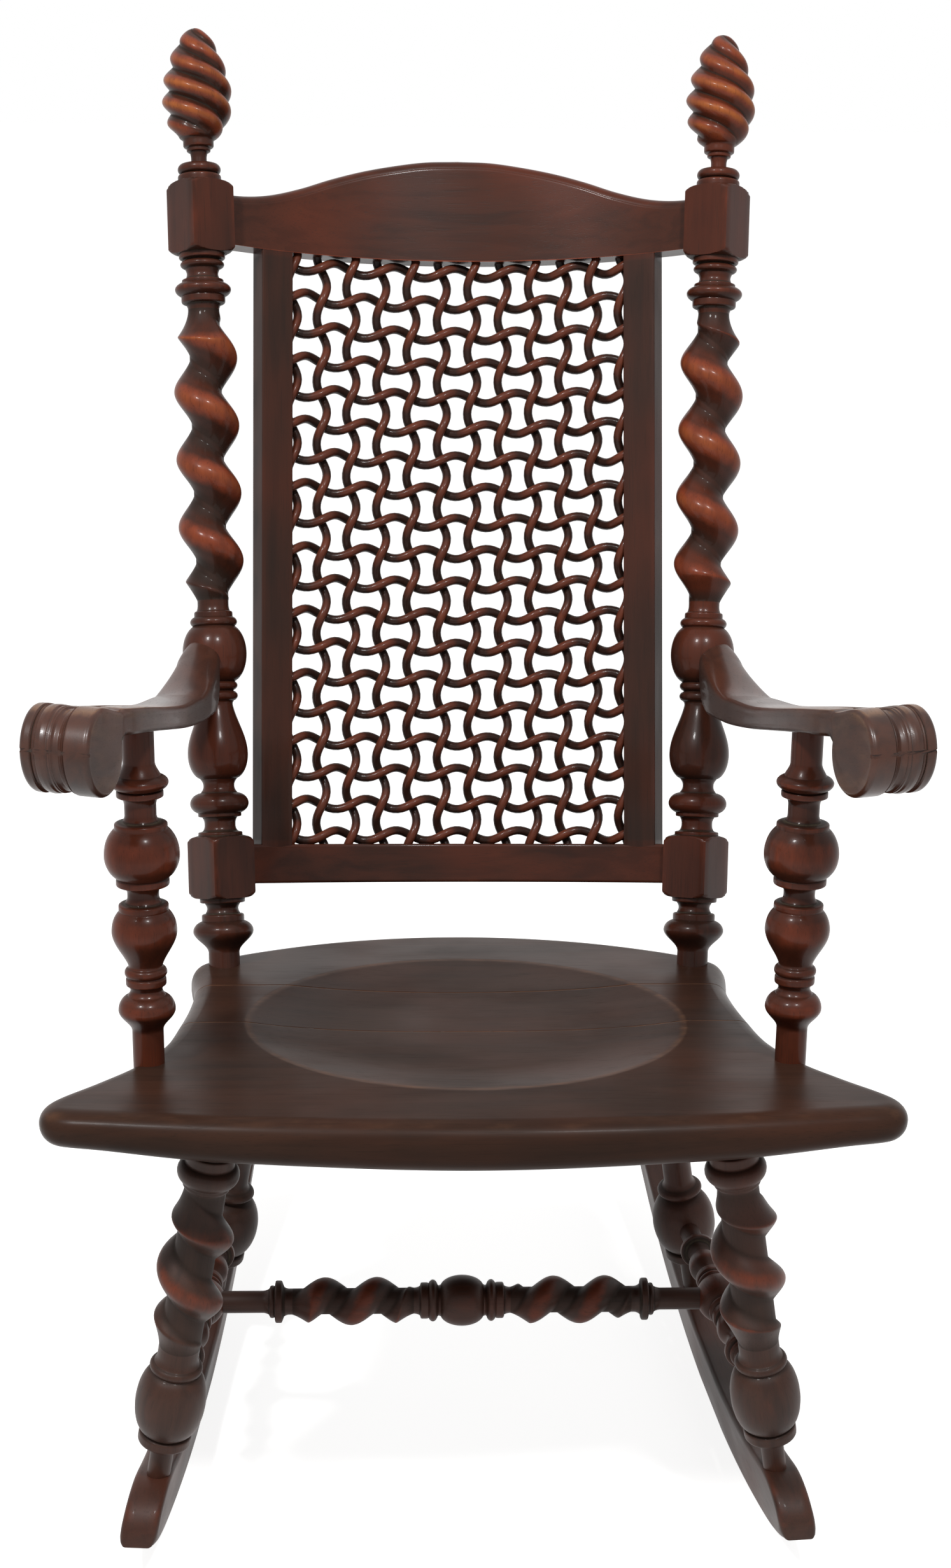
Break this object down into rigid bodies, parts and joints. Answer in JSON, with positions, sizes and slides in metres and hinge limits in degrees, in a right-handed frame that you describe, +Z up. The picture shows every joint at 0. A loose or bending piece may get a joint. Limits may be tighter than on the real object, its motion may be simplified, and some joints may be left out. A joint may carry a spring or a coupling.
{
  "type": "rocking chair",
  "caption": "Wooden rocking chair with twist-turned posts and legs, a bowed back of woven twisted rods, rolled arms and a saddled seat on curved rockers.",
  "frame": {"origin": "middle of the bounding box at floor level, where the two rockers rest", "axes": "+Z up; +X to the right of a viewer who stands in front of the chair; the sitter faces -Y and the back is towards +Y"},
  "size_m": [0.6702, 0.785, 1.1912],
  "materials": {
    "frame_wood": "dark red-brown mahogany with a worn satin polish",
    "seat_wood": "dark brown mahogany board, polished by use",
    "lattice_wood": "very dark brown mahogany with a dull polish"
  },
  "bodies": {
    "root": {"back_post_left": "frame_wood", "back_post_right": "frame_wood", "finial_left": "frame_wood", "finial_right": "frame_wood", "back_stile_left": "frame_wood", "back_stile_right": "frame_wood", "arm_left": "frame_wood", "arm_right": "frame_wood", "arm_support_left": "frame_wood", "arm_support_right": "frame_wood", "front_leg_left": "frame_wood", "front_leg_right": "frame_wood", "rear_leg_left": "frame_wood", "rear_leg_right": "frame_wood", "side_stretcher_left": "frame_wood", "side_stretcher_right": "frame_wood", "rocker_left": "frame_wood", "rocker_right": "frame_wood", "crest_rail": "frame_wood", "lower_rail": "frame_wood", "cross_stretcher": "frame_wood", "seat_front_board": "seat_wood", "seat_middle_board": "seat_wood", "seat_rear_board": "seat_wood", "lattice_upright_1": "lattice_wood", "lattice_upright_2": "lattice_wood", "lattice_upright_3": "lattice_wood", "lattice_upright_4": "lattice_wood", "lattice_upright_5": "lattice_wood", "lattice_upright_6": "lattice_wood", "lattice_upright_7": "lattice_wood", "lattice_upright_8": "lattice_wood", "lattice_upright_9": "lattice_wood", "lattice_upright_10": "lattice_wood", "lattice_upright_11": "lattice_wood", "lattice_upright_12": "lattice_wood", "lattice_level_1": "lattice_wood", "lattice_level_2": "lattice_wood", "lattice_level_3": "lattice_wood", "lattice_level_4": "lattice_wood", "lattice_level_5": "lattice_wood", "lattice_level_6": "lattice_wood", "lattice_level_7": "lattice_wood", "lattice_level_8": "lattice_wood", "lattice_level_9": "lattice_wood", "lattice_level_10": "lattice_wood", "lattice_level_11": "lattice_wood", "lattice_level_12": "lattice_wood", "lattice_level_13": "lattice_wood", "lattice_level_14": "lattice_wood", "lattice_level_15": "lattice_wood", "lattice_level_16": "lattice_wood", "lattice_level_17": "lattice_wood", "lattice_level_18": "lattice_wood", "lattice_level_19": "lattice_wood"}
  },
  "joints": []
}
